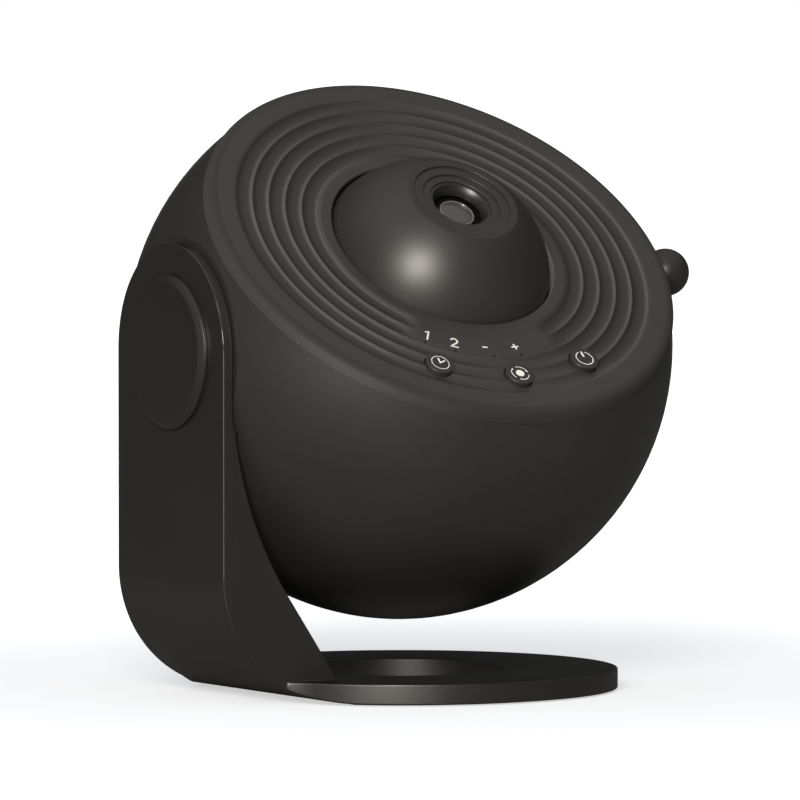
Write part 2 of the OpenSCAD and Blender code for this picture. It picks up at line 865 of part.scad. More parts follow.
module disc_carrier() color("#e4e2da") in_head()
  rotate([0, 0, drive_angle + 180 / gear_teeth])
    difference() {
      union() {
        translate([0, 0, carrier_bottom])
          linear_extrude(height = gear_h)
            gear_outline(gear_teeth);
        rod(carrier_bottom + gear_h - eps, disc_seat_z + disc_t + 0.2, carrier_r);
      }
      rod(carrier_bottom - 1, disc_seat_z + 1, collar_r + 0.06);
      rod(collar_top - clip_t - slip, disc_seat_z + 1, clip_r + clear);
      rod(disc_seat_z, disc_seat_z + disc_t + 1, disc_r + slip / 2);
    }

module film_disc() color("#20242c") in_head()
  rod(disc_seat_z, disc_seat_z + disc_t, disc_r);

module drive_pinion() color("#d8d6cc") in_head()
  drive_place()
    rotate([0, 0, 180])
      difference() {
        translate([0, 0, carrier_bottom - clear])
          linear_extrude(height = gear_h)
            gear_outline(pinion_teeth);
        rod(carrier_bottom - 1, carrier_bottom + gear_h + 1, shaft_r);
      }

module motor_shaft() color("#a9adb2") in_head()
  drive_place()
    rod(frame_bottom - motor_bore + 0.2, carrier_bottom + gear_h - clear, shaft_r);

// ---- boards ----

module main_board() color("#1f5a36") in_head()
  difference() {
    translate([-board_w / 2, board_v0, board_z - board_t])
      cube([board_w, board_v1 - board_v0, board_t]);
    for (p = board_holes)
      translate([p[0], p[1], 0])
        rod(board_z - board_t - 1, board_z + 1, small_screw_r + 0.1);
  }

module board_parts() color("#26262a") in_head()
  translate([0, board_v0, board_z]) {
    translate([-chip[0] / 2, 10, 0])
      cube(chip);
    translate([-12, 7, 0])
      cube(coil);
    translate([7, 7, 0])
      cylinder(r = capacitor_r, h = capacitor_h);
    translate([-12, 16, 0])
      cube(plug_block);
    translate([7.5, 15, 0])
      cube(resistor);
  }

module usb_socket() color("#b4b7ba") in_head()
  difference() {
    translate([-usb_w / 2, usb_mouth - usb_l, board_z])
      cube([usb_w, usb_l, usb_h]);
    translate([-usb_w / 2 + usb_wall, usb_mouth - usb_l + 1.2, board_z + usb_wall])
      cube([usb_w - 2 * usb_wall, usb_l, usb_h - 2 * usb_wall]);
  }

module board_screws() color("#8d8f92") in_head()
  for (p = board_holes)
    translate([p[0], p[1], 0])
      screw(board_z, -1, board_t + board_screw_l, small_screw_r, small_head_r, small_head_h);

module key_board() color("#1f5a36") in_head()
  difference() {
    tube(key_plate_top - board_t, key_plate_top, key_plate_in, key_plate_out);
    rotate([0, 0, 270 + key_half_angle])
      translate([-far, 0, 0])
        cube([2 * far, far, far]);
    rotate([0, 0, 270 - key_half_angle])
      translate([-far, -far, 0])
        cube([2 * far, far, far]);
    around(key_post_angles, key_post_ring)
      rod(key_plate_top - board_t - 1, key_plate_top + 1, small_screw_r + 0.1);
  }

module key_screws() color("#8d8f92") in_head()
  around(key_post_angles, key_post_ring)
    screw(key_plate_top - board_t, 1, board_t + key_screw_l, small_screw_r, small_head_r, small_head_h);

module key_switches() color("#17181a") in_head()
  around(key_angles, button_ring)
    difference() {
      translate([-switch_w / 2, -switch_w / 2, key_plate_top])
        cube([switch_w, switch_w, switch_top - key_plate_top]);
      rod(key_plate_top + 0.6, switch_top + 1, button_stem_r + clear);
    }

module indicator_leds() color("#f1efe2") in_head()
  around(indicator_angles, indicator_ring)
    translate([-0.8, -0.5, key_plate_top])
      cube([1.6, 1, 0.8]);

module light_pipes() color([0.85, 0.9, 0.95, 0.6]) in_head()
  around(indicator_angles, indicator_ring) {
    rod(cover_under - pipe_flange_h, cover_under, pipe_flange_r);
    rod(cover_under - eps, face_z - ripple_depth - 0.1, pipe_r);
  }

module led_leads() color("#a03428") in_head()
  for (side = [-1, 1])
    lead([[side * 0.7, led_board_r - 1.6, sink_top + board_t + 0.6], [side * 0.7, engine_r + 6, sink_top + 1.6],
          [side * 1.6, sink_r + 4, sink_top - 8], [side * 3, board_v0 + 4, board_z + 5],
          [side * 3, board_v0 + 4, board_z]], lead_r);

module motor_leads() color("#2b4ea0") in_head()
  for (side = [-1, 1])
    lead([[drive_ring * cos(drive_angle) + side * 2, drive_ring * sin(drive_angle), frame_bottom - motor_h],
          [drive_ring * cos(drive_angle) + side * 2, drive_ring * sin(drive_angle) + 1, frame_bottom - motor_h - 4],
          [13 + side * 1.5, board_v0 + 12, board_z + 8], [13 + side * 1.5, board_v0 + 12, board_z]], lead_r);

module key_cable() color("#4a4a4e") in_head()
  lead([[-6, -38, key_plate_top - board_t], [-8, -39, key_plate_top - board_t - 5], [-27, -32, 6], [-34, -6, -14],
        [-24, 24, board_z + 6], [-13, board_v0 + 2, board_z + 4], [-13, board_v0 + 2, board_z]], cable_r);

// ---- focus ----

module focus_ring() color("#3b3b3d") in_head()
  difference() {
    union() {
      tube(tube_bottom, tube_top, tube_in, tube_out);
      tube(tube_bottom, tube_bottom + focus_flange_t, tube_in, focus_flange_r);
      rotate([0, 0, lever_angle]) {
        translate([lever_in, -lever_w / 2, lever_z - lever_t / 2])
          cube([lever_out - lever_in, lever_w, lever_t]);
        translate([lever_in, -lever_w / 2, lever_z - lever_t / 2])
          cube([focus_flange_r - lever_in + 1.5, lever_w, tube_bottom + focus_flange_t - lever_z + lever_t / 2]);
      }
    }
    for (a = follower_angles)
      rotate([0, 0, a])
        translate([slot_mid - tube_wall, 0, follower_z])
          rotate([-slot_slope, 0, 0])
            cube([4 * tube_wall, slot_l, slot_h], center = true);
    rotate([0, 0, lever_angle])
      translate([stem_in, 0, lever_z])
        rotate([0, 90, 0])
          cylinder(r = stem_r, h = 10);
  }

module lever_stem() color("#a9adb2") in_head()
  rotate([0, 0, lever_angle])
    translate([stem_in, 0, lever_z])
      rotate([0, 90, 0])
        cylinder(r = stem_r, h = knob_x - stem_in);

module focus_knob() color("#302e2c") in_head()
  rotate([0, 0, lever_angle])
    difference() {
      translate([knob_x, 0, lever_z])
        sphere(r = knob_r);
      translate([stem_in, 0, lever_z])
        rotate([0, 90, 0])
          cylinder(r = stem_r, h = knob_x - stem_in);
    }

// ---- dome seat ----

module dome_seat() color("#3a3a3c") in_head()
  difference() {
    union() {
      rod(seat_top - seat_t, seat_top, seat_out);
      tube(seat_top - eps, seat_top + seat_lip_h, seat_lip_in, seat_out);
    }
    rod(seat_top - seat_t - 1, seat_top + 1, seat_in);
    around(guide_angles, magnet_ring)
      rod(seat_top - seat_t - 1, seat_top + 1, guide_r + fit);
    around(magnet_angles, magnet_ring)
      rod(seat_top - magnet_t, seat_top + 1, magnet_r);
    for (a = follower_angles)
      rotate([0, 0, a])
        translate([follower_in, 0, follower_z])
          rotate([0, 90, 0])
            cylinder(r = follower_r, h = 10);
  }

module follower_pins() color("#a9adb2") in_head()
  for (a = follower_angles)
    rotate([0, 0, a])
      translate([follower_in, 0, follower_z])
        rotate([0, 90, 0])
          cylinder(r = follower_r, h = tube_out - follower_in - 0.1);

module seat_magnets() color("#b8b8bc") in_head()
  around(magnet_angles, magnet_ring)
    rod(seat_top - magnet_t, seat_top, magnet_r);

// ---- dome and lens ----

lift = slip / 2;                                   // the dome rests this far above its seat
dome_foot = seat_top + lift;
tube_len = 9;
roof = dome_top - 4 * recess_step - 2.2;           // underside of the dome's top
recess_radii = [recess_r, recess_r - 2.4, recess_r - 4.4];

module dome_cover() color("#302e2c") in_head()
  difference() {
    union() {
      difference() {
        union() {
          intersection() {
            translate([0, 0, dome_z])
              sphere(r = dome_r, $fn = 160);
            rod(skirt_z, dome_top, dome_r);
          }
          rod(dome_foot, skirt_z + eps, skirt_r);
        }
        intersection() {
          translate([0, 0, dome_z])
            sphere(r = dome_r - dome_wall, $fn = 160);
          rod(skirt_z - eps, roof, dome_r);
        }
        rod(dome_foot - 1, skirt_z, skirt_r - dome_wall);
      }
      tube(dome_foot, dome_foot + flange_t, flange_in, skirt_r - dome_wall + 0.2);
      rod(roof - tube_len, roof + eps, barrel_r + 1.6);
    }
    for (k = [0 : len(recess_radii) - 1])
      rod(dome_top - (k + 1) * recess_step, dome_top + 1, recess_radii[k]);
    rod(roof - 1, dome_top + 1, mouth_r);
    rod(roof - tube_len - 1, roof, barrel_r + fit);
    around(magnet_angles, magnet_ring)
      rod(dome_foot - 1, dome_foot + magnet_t, magnet_r);
  }

module dome_magnets() color("#b8b8bc") in_head()
  around(magnet_angles, magnet_ring)
    rod(dome_foot, dome_foot + magnet_t, magnet_r);

barrel_bottom = disc_seat_z + disc_t + focus_travel + 2.2;
bore_r = barrel_r - barrel_wall;
front_top = dome_top - front_lens_depth;           // edge of the front lens
front_bottom = front_top - 3.2;
rear_top = front_bottom - 4.6;
rear_t = 3.6;
rear_curve = 16;
front_curve = 13.5;
front_crown = 0.7;

module lens_barrel() color("#1a1a1b") in_head()
  difference() {
    tube(barrel_bottom, roof, bore_r, barrel_r);
    // inner thread relief
    tube(barrel_bottom - 1, barrel_bottom + 1, bore_r - 1, bore_r + 0.4);
  }

module front_lens() color([0.75, 0.82, 0.88, 0.5]) in_head()
  intersection() {
    union() {
      rod(front_bottom, front_top + front_crown, front_lens_r);
      rod(front_bottom, front_bottom + 1.4, bore_r - fit);
    }
    translate([0, 0, front_top + front_crown - front_curve])
      sphere(r = front_curve);
  }

module lens_retainer() color("#141415") in_head()
  tube(front_bottom + 1.4, front_top - 0.6, front_lens_r + fit, bore_r - fit);

module spacer_tube() color("#1a1a1b") in_head()
  tube(rear_top, front_bottom, bore_r - 1.3, bore_r - fit);

module rear_lens() color([0.75, 0.82, 0.88, 0.5]) in_head()
  intersection() {
    rod(rear_top - rear_t, rear_top, bore_r - fit);
    translate([0, 0, rear_top - rear_t + rear_curve])
      sphere(r = rear_curve);
  }

// ---- buttons ----

module button(angle) {
  rotate([0, 0, angle])
    translate([button_ring, 0, 0]) {
      rod(cover_under - clear, face_z + button_proud, button_r);
      rod(cover_under - clear - flange_h, cover_under - clear, button_r + flange_extra);
      rod(switch_top - clear, cover_under - clear, button_stem_r);
    }
}

module timer_button() color("#302e2c") in_head()
  button(key_angles[0]);

module rotate_button() color("#302e2c") in_head()
  button(key_angles[1]);

module power_button() color("#302e2c") in_head()
  button(key_angles[2]);

// ---- nodes ----

stand_bracket();
base_pad();
pivot_cap();
bowl_shell();
face_cover();
cover_screws();
friction_washer();
retaining_washer();
pivot_screw();
optical_frame();
frame_screws();
guide_pins();
carrier_clip();
condenser_lens();
condenser_ring();
led_emitter();
led_board();
heat_sink();
sink_screws();
disc_motor();
motor_screws();
main_board();
board_parts();
usb_socket();
board_screws();
key_board();
key_screws();
key_switches();
indicator_leds();
light_pipes();
led_leads();
motor_leads();
key_cable();
focus_ring();
lever_stem();
focus_knob();
dome_seat();
follower_pins();
seat_magnets();
dome_cover();
dome_magnets();
lens_barrel();
front_lens();
lens_retainer();
spacer_tube();
rear_lens();
disc_carrier();
film_disc();
drive_pinion();
motor_shaft();
timer_button();
rotate_button();
power_button();
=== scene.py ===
"""Looks of the planetarium projector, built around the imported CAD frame. Metres, Z up."""

import json
import math

import bmesh
import bpy
from mathutils import Matrix, Vector


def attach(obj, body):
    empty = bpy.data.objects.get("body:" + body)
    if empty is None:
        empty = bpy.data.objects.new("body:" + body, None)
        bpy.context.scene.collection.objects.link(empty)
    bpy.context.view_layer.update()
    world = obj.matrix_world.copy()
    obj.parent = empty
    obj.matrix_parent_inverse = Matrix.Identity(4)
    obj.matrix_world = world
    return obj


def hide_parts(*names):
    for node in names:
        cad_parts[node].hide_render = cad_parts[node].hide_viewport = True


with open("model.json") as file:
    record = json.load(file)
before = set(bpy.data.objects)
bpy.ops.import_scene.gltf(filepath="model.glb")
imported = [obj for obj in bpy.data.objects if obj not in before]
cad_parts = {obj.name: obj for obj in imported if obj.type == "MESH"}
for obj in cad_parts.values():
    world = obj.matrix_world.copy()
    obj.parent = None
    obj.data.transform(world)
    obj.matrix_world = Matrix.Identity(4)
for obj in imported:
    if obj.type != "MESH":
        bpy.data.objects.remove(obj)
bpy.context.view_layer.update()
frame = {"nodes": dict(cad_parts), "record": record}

MM = 0.001
SCALE = Matrix.Scale(MM, 4)

# Millimetres and degrees, from the part's own values. Heights on the head are above the ball's centre.
TILT = 40                       # lean of the lens axis
CENTRE = (-1.0, 0.0, 81.4)      # the ball's centre

# Stand: distances of the arm are from the ball's centre, towards -X
ARM_IN = 59.4
ARM_OUT = 62.1
ARM_W = 51.0
BASE_R = 51.2
BASE_T = 4.8
BORE_R = 25.0
BEND_R = 30.0
CORNER_R = 23.3                 # the hollow corner between the ring and the arm
CORNER_AT = 216.4               # where it leaves the ring's circle
WEDGE_R = 91.5                  # the hollow slope from the arm down to the foot
WEDGE_DROP = 6.5
WEDGE_ANGLE = 33.5
SCOOP_R = 66.3                  # clearance for the ball
BOSS_R = 11.8                   # boss that carries the pivot
BOSS_END = 52.55
HUB_BORE_R = 6.05
COUNTER_R = 12.0                # recess under the round cap
COUNTER_D = 1.5
PAD_IN = 29.9                   # groove for the pad, under the ring
PAD_OUT = 47.1
PAD_DEEP = 0.8
PAD_CUT_X = -32.7
STAND_EDGE = 0.38
CAP_R = 18.2
CAP_HIGH = 1.9
CAP_LIP = (10.6, 11.95)         # inner and outer radius of the cap's lip
CAP_BEVEL = (1.7, 1.1)          # width and depth

# Face cover
PART_Z = 28.7                   # the parting line
FACE_Z = 32.2
UNDER_Z = 29.8                  # underside of the cover's plate
RIM_R = 58.42
RIM_ROLL = 2.5
RIM_PATH = 2.9                  # the way over the roll along which its shading turns
RIM_TURN = 33                   # and by how many degrees
SKIRT = (53.7, 55.3)            # inner and outer radius of the lip inside the bowl
GUIDE_IN = 30.39 + 0.08         # wall round the lens seat
GUIDE_LOW = 26.2
GUIDE_WALL = 1.8
HOLE_R = 27.59                  # hole round the dome
RIPPLE_R = 31.0
RIPPLE_PITCH = 4.08
RIPPLE_DEPTH = 0.7
RIPPLES = 5
RIDGE_CUT = 0.072               # what is off the ridges between the ripples
FADE = (226, 301)               # the ripples are faint between these angles, round the keys
FADE_OVER = 10                  # degrees over which they grow faint
FADE_R = (38.0, 40.5)           # those inside the first radius run out
BOSSES = ([(a, 46.0, -10.0, 3.6, 1.55, 8.9) for a in (40, 150, 310)]         # angle, ring, low end, radius,
          + [(a, 40.0, 15.0, 3.5, 1.55, 8.0) for a in (75, 170, 225, 325)]   # radius and depth of the hole
          + [(a, 44.0, 25.6, 2.2, 1.05, 3.5) for a in (257.3, 282.7)])

# Dome and lens
DOME_R = 29.1
DOME_WALL = 2.2
DOME_Z = 20.7                   # centre of the dome's sphere
DOME_TOP = 46.4
DOME_FOOT = 31.2                # where the sphere meets the foot inside the cover
FLANGE = (28.05, 30.05)         # lower and upper face of the foot's flange
FLANGE_IN = 22.79
ROOF = DOME_TOP - 3.88          # inner edge of the mouth
STEP = 0.5                      # drop from one step of the recess to the next
STEPS = (12.0, 9.6, 7.7)
MOUTH_IN = 5.85
MOUTH_TURN = 4.2
MOUTH_R = 7.1                   # the polished wall, painted darker than the dome as shade, lies inside this radius
CELL = (9.05, 10.6)             # inner and outer radius of the wall that holds the lens cell
CELL_DEEP = 9
MAGNET_RING = 24.77
LENS_EDGE = DOME_TOP - 4.2
LENS_LOW = DOME_TOP - 7.6
LENS_SPHERE = 13.5
LENS_R = 7.35                   # flange of the front lens
LENS_NECK = 4.31
RIM_GREY_FROM = 3.85                 # the lens is a lighter grey outside this radius

# Keys, pin holes, labels and lever
BUTTON_RING = 45.6
BUTTON_ANGLES = {"timer": 244.6, "rotate": 270.0, "power": 295.4}
BUTTON_R = 3.5
BUTTON_TOP = 33.1
BUTTON_GAP = 0.2
PIN_R = 0.4
PIN_RING = 38.7
PIN_ANGLES = [239.3, 250.4, 264.9, 276.0]
LABEL_RING = 35.9
LABEL_ANGLES = [239.4, 250.2, 262.5, 275.4]
LABEL_HIGH = 0.03               # the ink stands this much proud
LABEL_SUNK = 0.04
LEVER_ANGLE = 3.0
LEVER_Z = 18.1
KNOB_X = 68.81
KNOB_R = 5.75

# Light and camera, metres and degrees as (azimuth, elevation)
FLOOR_SIZE = 6.0
FLOOR_Z = -0.0004               # the pad's underside
FLOOR_GLOW = 0.575
BACKDROP = (0.502, 0.863, 0.0)  # the way to the backdrop's middle, in the scene
KEY_WAY = (-38.5, 18)
KEY_AWAY = 1.6
KEY_SIZE = 0.55
KEY_WATTS = 28.5
KEY_COLOUR = (1.0, 0.955, 0.865)
RAKE_UP = 7                     # degrees above the face
RAKE_WATTS = 60.0
RAKE_AWAY = 1.2
RAKE_SIZE = 0.1
OVERHEAD = (-0.50, 0.05, 0.865)  # the way to the brighter patch of the ceiling
CAMERA_WAY = (-30.19, 2.90)
CAMERA_AWAY = 2.496
CAMERA_LENS = 473.1
CAMERA_AIM = (0.2975, 0.006)    # degrees that the aim lies below and beside the ball's centre

WORLD = SCALE
HEAD = SCALE @ Matrix.Translation(CENTRE) @ Matrix.Rotation(math.radians(TILT), 4, "X")
PIVOT = SCALE @ Matrix.Translation(CENTRE) @ Matrix.Rotation(math.radians(-90), 4, "Y")   # +Z towards the arm


# ---- materials ----

def nodes_of(name):
    material = bpy.data.materials.new(name)
    material.use_nodes = True
    tree = material.node_tree
    return material, tree, tree.nodes["Principled BSDF"]


def add(tree, kind, **values):
    node = tree.nodes.new(kind)
    for key, value in values.items():
        if key.startswith("in_"):
            node.inputs[key[3:].replace("_", " ")].default_value = value
        else:
            setattr(node, key, value)
    return node


def noise(tree, coords, scale, detail=2.0, rough=0.5):
    node = add(tree, "ShaderNodeTexNoise", in_Scale=scale, in_Detail=detail, in_Roughness=rough)
    tree.links.new(coords, node.inputs["Vector"])
    return node.outputs["Fac"]


def ramp(tree, value, low, high, first, last, kind="SMOOTHSTEP"):
    node = add(tree, "ShaderNodeMapRange", interpolation_type=kind)
    for key, number in (("From Min", low), ("From Max", high), ("To Min", first), ("To Max", last)):
        node.inputs[key].default_value = number
    tree.links.new(value, node.inputs["Value"])
    return node.outputs["Result"]


def spread(tree, value, low, high):
    """Noise, which keeps near its middle, spread evenly from low to high."""
    return ramp(tree, value, 0.3, 0.7, low, high, "LINEAR")


def sums(tree, operation, first, second):
    """A Math node on two sockets or numbers."""
    node = add(tree, "ShaderNodeMath", operation=operation)
    for socket, value in zip(node.inputs, (first, second)):
        if isinstance(value, (int, float)):
            socket.default_value = value
        else:
            tree.links.new(value, socket)
    return node.outputs[0]


def along(tree, vector, way):
    """How far a socket's vector runs along a way, which is a fixed vector."""
    node = add(tree, "ShaderNodeVectorMath", operation="DOT_PRODUCT")
    tree.links.new(vector, node.inputs[0])
    node.inputs[1].default_value = way
    return node.outputs["Value"]


def mixed(tree, factor, first, second):
    node = add(tree, "ShaderNodeMix", data_type="RGBA")
    node.inputs["A"].default_value = (*first, 1)
    node.inputs["B"].default_value = (*second, 1)
    tree.links.new(factor, node.inputs["Factor"])
    return node.outputs["Result"]


def surface(name, colour, rough, grain=0.35, bump=0.012, vary=0.12, spec=0.5, metal=0.0, coat=0.0, streak=None,
            matt_top=False):
    """A moulded or machined surface: slow colour drift, fine grain in the gloss, and a bump of the same grain.

    The grain and the bump are in millimetres. A matt top has less gloss where it faces up."""
    material, tree, bsdf = nodes_of(name)
    where = add(tree, "ShaderNodeTexCoord").outputs["Object"]
    if streak:
        stretch = add(tree, "ShaderNodeMapping")
        stretch.inputs["Scale"].default_value = streak
        tree.links.new(where, stretch.inputs["Vector"])
        where = stretch.outputs["Vector"]
    slow = noise(tree, where, 45, 3)
    fine = noise(tree, where, 1 / (grain * MM), 4, 0.6)
    dark = tuple(c * (1 - vary) for c in colour)
    light = tuple(min(1, c * (1 + vary)) for c in colour)
    both = sums(tree, "MULTIPLY", sums(tree, "ADD", slow, fine), 0.5)
    tree.links.new(mixed(tree, spread(tree, both, 0, 1), dark, light), bsdf.inputs["Base Color"])
    gloss = spread(tree, both, rough - 0.05, rough + 0.05)
    if matt_top:
        level = add(tree, "ShaderNodeSeparateXYZ")
        tree.links.new(add(tree, "ShaderNodeNewGeometry").outputs["Normal"], level.inputs[0])
        flat = ramp(tree, level.outputs["Z"], 0.90, 0.99, 0.0, 1.0)
        gloss = sums(tree, "ADD", gloss, sums(tree, "MULTIPLY", flat, 0.3))
        tree.links.new(ramp(tree, level.outputs["Z"], 0.90, 0.99, spec, 0.1), bsdf.inputs["Specular IOR Level"])
    tree.links.new(gloss, bsdf.inputs["Roughness"])
    ridge = add(tree, "ShaderNodeBump", in_Strength=1.0, in_Distance=bump * MM)
    tree.links.new(fine, ridge.inputs["Height"])
    tree.links.new(ridge.outputs["Normal"], bsdf.inputs["Normal"])
    bsdf.inputs["Metallic"].default_value = metal
    bsdf.inputs["Specular IOR Level"].default_value = spec
    bsdf.inputs["Coat Weight"].default_value = coat
    return material


def glass(name, tint, rough=0.02, ior=1.52):
    material, tree, bsdf = nodes_of(name)
    where = add(tree, "ShaderNodeTexCoord").outputs["Object"]
    dust = noise(tree, where, 900, 3)
    tree.links.new(spread(tree, dust, rough * 0.5, rough * 1.5), bsdf.inputs["Roughness"])
    tree.links.new(mixed(tree, dust, tint, tuple(c * 0.97 for c in tint)), bsdf.inputs["Base Color"])
    bsdf.inputs["Transmission Weight"].default_value = 1.0
    bsdf.inputs["IOR"].default_value = ior
    return material


BLACK = (0.0235, 0.0232, 0.0225)
looks = {
    "stand_plastic": surface("moulded_stand", (0.0105, 0.0104, 0.0101), 0.41, grain=0.22, bump=0.008, spec=1.0,
                             matt_top=True),
    "head_plastic": surface("moulded_head", BLACK, 0.42, grain=0.16, bump=0.005, spec=0.6),
    "button_plastic": surface("moulded_keys", (0.026, 0.0258, 0.025), 0.42, grain=0.12, bump=0.004, spec=0.5),
    "pad_rubber": surface("pad_silicone", (0.018, 0.018, 0.018), 0.85, grain=0.3, bump=0.02, spec=0.3),
    "inner_plastic": surface("inner_moulding", (0.045, 0.045, 0.047), 0.6, grain=0.3, bump=0.01),
    # The lens cell's near-black is partly its own black and partly painted shade for the dark deep inside the mouth.
    "lens_cell": surface("black_cell_painted_shade", (0.003, 0.003, 0.0033), 0.6, grain=0.1, bump=0.006, spec=0.15),
    "glass": glass("coated_glass", (0.90, 0.93, 0.95)),
    "gear_plastic": surface("natural_acetal", (0.72, 0.70, 0.64), 0.38, grain=0.3, bump=0.004, vary=0.03),
    "film": surface("film_sandwich", (0.012, 0.016, 0.03), 0.12, grain=0.5, bump=0.001, vary=0.3, coat=0.6),
    "steel": surface("plated_steel", (0.56, 0.57, 0.59), 0.32, grain=0.08, bump=0.003, vary=0.06, metal=1.0),
    "heat_sink": surface("extruded_aluminium", (0.70, 0.71, 0.72), 0.42, grain=0.1, bump=0.005, vary=0.05,
                         metal=1.0, streak=(1, 8, 1)),
    "circuit_board": surface("solder_mask", (0.018, 0.12, 0.05), 0.3, grain=0.6, bump=0.006, vary=0.25, coat=0.4),
    "chips": surface("chip_moulding", (0.02, 0.02, 0.022), 0.55, grain=0.08, bump=0.004),
    "led": surface("led_phosphor", (0.82, 0.72, 0.26), 0.35, grain=0.1, bump=0.004, vary=0.06),
    "light_pipe": glass("clear_acrylic", (0.93, 0.95, 0.96), 0.08, 1.49),
    "leads": surface("lead_insulation", (0.17, 0.045, 0.035), 0.5, grain=0.3, bump=0.006, vary=0.15),
}
WHITE_INK = surface("printed_white", (0.80, 0.80, 0.78), 0.5, grain=0.12, bump=0.003, vary=0.04, spec=0.4)
# The mouth's wall: polished, and painted darker than the rest of the dome as shade inside the mouth.
MOUTH = surface("polished_mouth_painted_shade", (0.012, 0.012, 0.012), 0.38, grain=0.2, bump=0.002, spec=0.7)
# The front lens: coated and glossy, and its grey colour is a painted reflection.
COATED_LENS_REFLECTION = surface("coated_front_painted_reflection", (0.06, 0.06, 0.062), 0.14, grain=0.5, bump=0.0005, vary=0.08, spec=0.6, coat=0.5)
# The lens's rim: a lighter grey than its middle.
LENS_RIM_GREY = surface("lighter_grey_lens_rim", (0.13, 0.13, 0.13), 0.18, grain=0.3, bump=0.001, vary=0.08, spec=0.9)

slot_of = {part["node"]: part["material_slot"] for part in frame["record"]["subparts"]}
for name, node in frame["nodes"].items():
    for place in node.material_slots:
        place.material = looks[slot_of[name]]


# ---- mesh tools, all in millimetres until the last step ----

def linked(name, data):
    made = bpy.data.objects.new(name, data)
    bpy.context.scene.collection.objects.link(made)
    return made


def polar(r, angle):
    a = math.radians(angle)
    return r * math.cos(a), r * math.sin(a)


def round_axis(r, angle):
    return Matrix.Translation((*polar(r, angle), 0))


def arc(cx, cy, r, a0, a1, n):
    points = [polar(r, a0 + (a1 - a0) * i / n) for i in range(n + 1)]
    return [(cx + x, cy + y) for x, y in points]


def rounded(corners, n=4, closed=True):
    """Corners as (x, y) or (x, y, radius); each corner with a radius is rounded by an arc of n steps."""
    out = []
    count = len(corners)
    for i, corner in enumerate(corners):
        radius = corner[2] if len(corner) > 2 else 0
        if radius <= 0 or (not closed and i in (0, count - 1)):
            out.append((corner[0], corner[1]))
            continue
        p = Vector(corner[:2])
        a = Vector(corners[i - 1][:2]) - p
        b = Vector(corners[(i + 1) % count][:2]) - p
        angle = a.angle(b)
        reach = min(radius / math.tan(angle / 2), a.length * 0.49, b.length * 0.49)
        real = reach * math.tan(angle / 2)
        way = (a.normalized() + b.normalized()).normalized()
        centre = p + way * (real / math.sin(angle / 2))
        start = p + a.normalized() * reach - centre
        turn = start.angle_signed(p + b.normalized() * reach - centre)
        for k in range(n + 1):
            t = -turn * k / n
            out.append((centre.x + start.x * math.cos(t) - start.y * math.sin(t),
                        centre.y + start.x * math.sin(t) + start.y * math.cos(t)))
    return out


def piece(name, verts, faces, place, body, slot, material, sharp=35, replaces=()):
    mesh = bpy.data.meshes.new(name)
    mesh.from_pydata([tuple(v) for v in verts], [], faces)
    mesh.validate()
    return dress(name, mesh, place, body, material, sharp, replaces)


def faced(mesh, merge=0):
    """Joins points nearer than merge, and turns all faces outwards."""
    edit = bmesh.new()
    edit.from_mesh(mesh)
    if merge:
        bmesh.ops.remove_doubles(edit, verts=edit.verts, dist=merge)
    bmesh.ops.recalc_face_normals(edit, faces=edit.faces)
    edit.to_mesh(mesh)
    edit.free()


def dress(name, mesh, place, body, material, sharp=35, replaces=()):
    """Places a mesh in the scene, in metres, on its body."""
    mesh.transform(place)
    faced(mesh, 1e-7)
    mesh.materials.clear()
    mesh.materials.append(material)
    mesh.shade_smooth()
    mesh.set_sharp_from_angle(angle=math.radians(sharp))
    made = linked(name, mesh)
    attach(made, body)
    if replaces:
        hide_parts(*replaces)
    return made


def revolved(profile, steps=192, closed=True, shape=None):
    """Turns a profile of (r, z) round Z. shape(angle, r, z) may change a point's height."""
    verts, rings = [], []
    for r, z in profile:
        if r < 1e-6:
            rings.append([len(verts)] * steps)
            verts.append((0, 0, z))
            continue
        first = len(verts)
        for k in range(steps):
            a = 2 * math.pi * k / steps
            zz = shape(a, r, z) if shape else z
            verts.append((r * math.cos(a), r * math.sin(a), zz))
        rings.append(list(range(first, first + steps)))
    faces = []
    pairs = list(zip(rings, rings[1:]))
    if closed:
        pairs.append((rings[-1], rings[0]))
    for low, high in pairs:
        for k in range(steps):
            n = (k + 1) % steps
            face = [low[k], low[n], high[n], high[k]]
            face = [v for i, v in enumerate(face) if v not in face[:i]]
            if len(face) > 2:
                faces.append(face)
    return verts, faces


def extruded(outline, z0, z1):
    """A prism over an outline in the XY plane."""
    n = len(outline)
    verts = [(x, y, z0) for x, y in outline] + [(x, y, z1) for x, y in outline]
    faces = [list(range(n - 1, -1, -1)), list(range(n, 2 * n))]
    faces += [[i, (i + 1) % n, n + (i + 1) % n, n + i] for i in range(n)]
    return verts, faces


def solid(verts, faces, turn=Matrix.Identity(4)):
    mesh = bpy.data.meshes.new("tool")
    mesh.from_pydata([tuple(v) for v in verts], [], faces)
    mesh.transform(turn)
    faced(mesh)
    return linked("tool", mesh)


def disc(r, z0, z1, steps=128, turn=Matrix.Identity(4)):
    outline = [(r * math.cos(2 * math.pi * k / steps), r * math.sin(2 * math.pi * k / steps)) for k in range(steps)]
    return solid(*extruded(outline, z0, z1), turn)


def block(low, high):
    outline = [(low[0], low[1]), (high[0], low[1]), (high[0], high[1]), (low[0], high[1])]
    return solid(*extruded(outline, low[2], high[2]))


def applied(target, kind, **settings):
    """Gives the target one modifier, and makes its result the target's mesh."""
    modifier = target.modifiers.new("step", kind)
    for key, value in settings.items():
        setattr(modifier, key, value)
    graph = bpy.context.evaluated_depsgraph_get()
    mesh = bpy.data.meshes.new_from_object(target.evaluated_get(graph))
    target.modifiers.clear()
    target.data = mesh


def carve(target, operation, *tools):
    """An exact boolean with each tool in turn, which uses the tools up."""
    for tool in tools:
        applied(target, "BOOLEAN", operation=operation, object=tool, solver="EXACT")
        bpy.data.objects.remove(tool)


